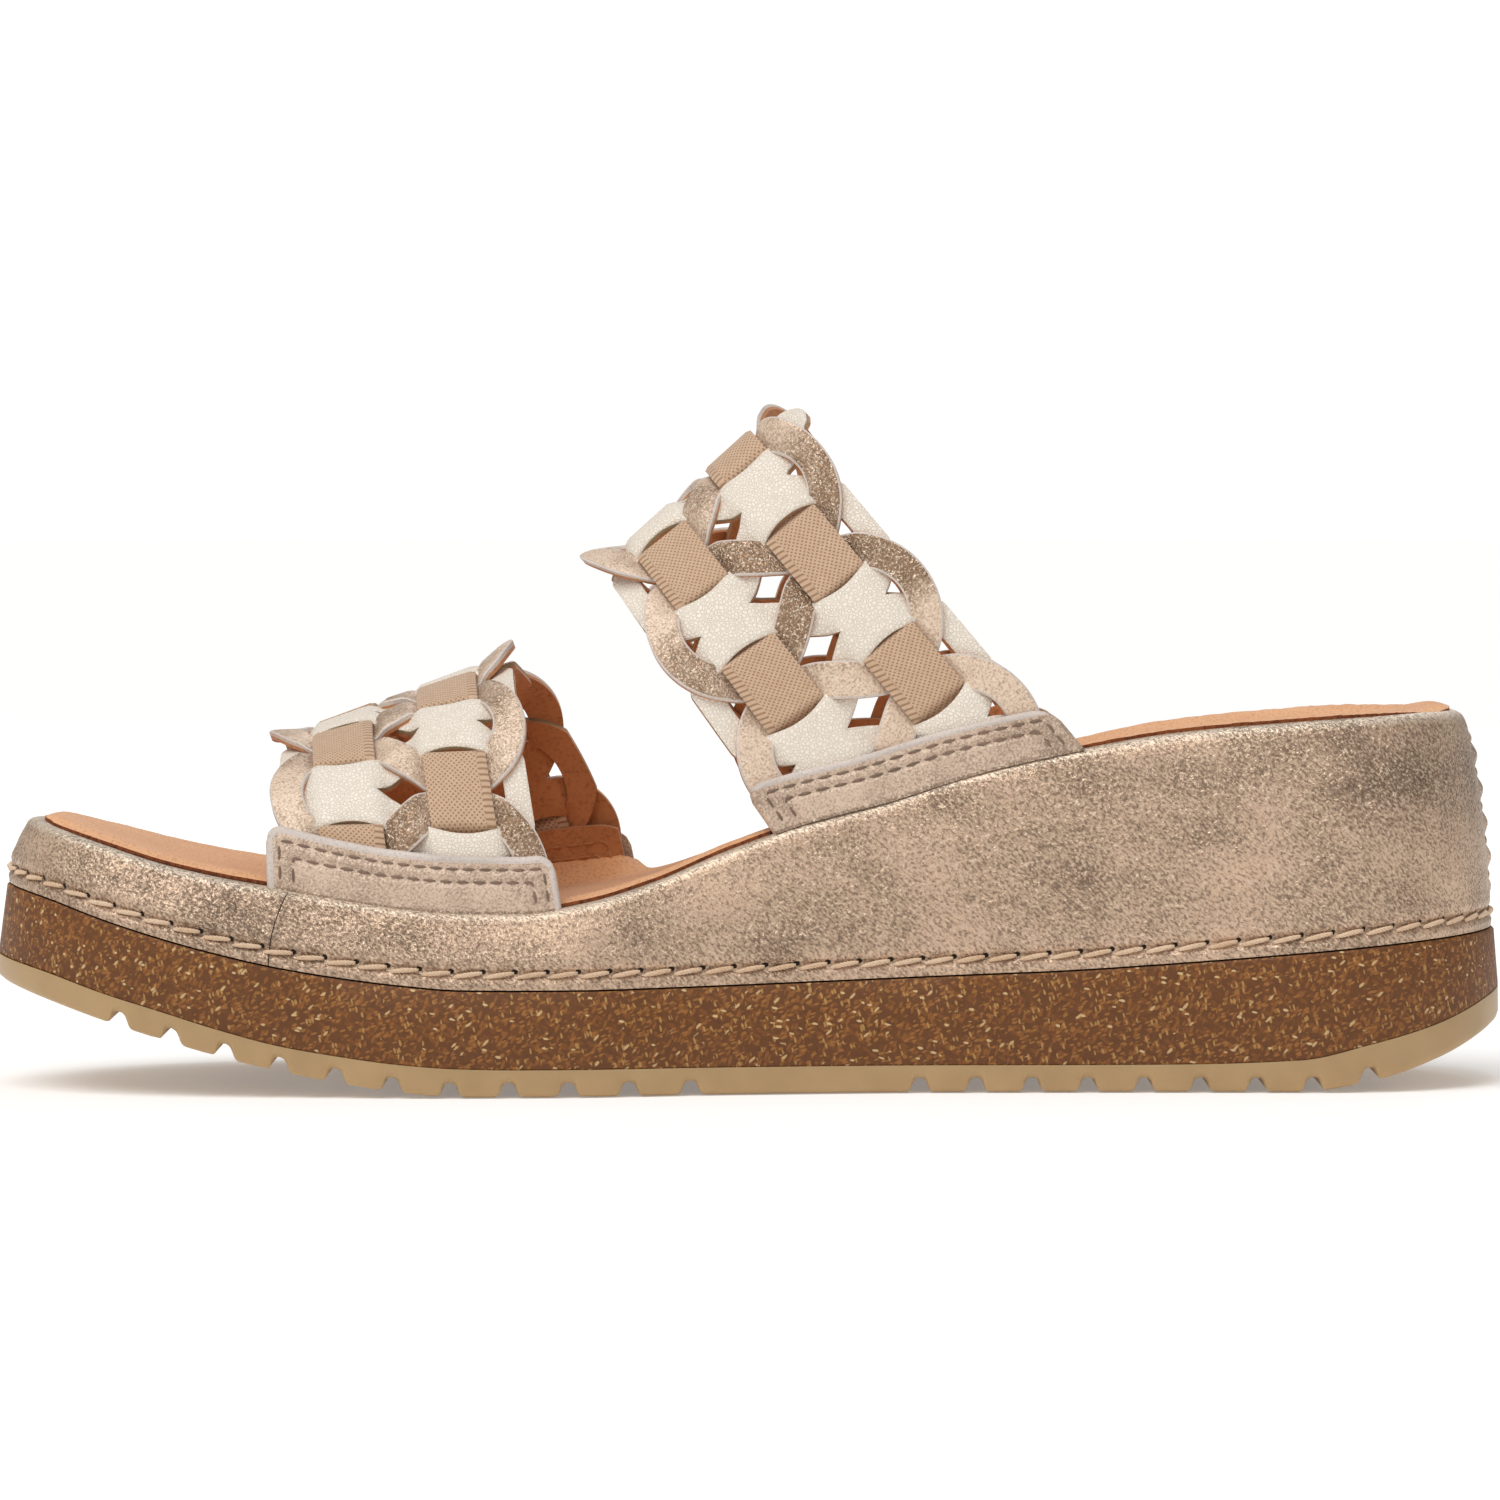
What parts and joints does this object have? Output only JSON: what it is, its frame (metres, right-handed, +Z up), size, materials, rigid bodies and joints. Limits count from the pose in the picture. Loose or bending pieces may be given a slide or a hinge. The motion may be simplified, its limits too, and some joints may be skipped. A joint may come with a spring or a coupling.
{
  "type": "mule",
  "caption": "Open-toe, open-back wedge mule: two woven leather straps arched over a suede footbed on a wrapped wedge, cork layer and grooved rubber sole.",
  "frame": {"origin": "middle of the bounding box, on the floor", "axes": "+X from toe to heel, +Y to the lateral side, +Z up"},
  "size_m": [0.2558, 0.0922, 0.1149],
  "materials": {
    "honey_rubber": "moulded, satin",
    "cork_composite": "pressed, matte",
    "foil_leather": "champagne foil",
    "tan_suede": "suede",
    "woven_leather": "cream and champagne, woven",
    "band_leather": "champagne, sewn"
  },
  "bodies": {
    "root": {"outsole": "honey_rubber", "midsole": "cork_composite", "wedge": "foil_leather", "insole": "tan_suede", "front_strap": "woven_leather", "rear_strap": "woven_leather", "front_band_medial": "band_leather", "front_band_lateral": "band_leather", "rear_band_medial": "band_leather", "rear_band_lateral": "band_leather"}
  },
  "joints": []
}
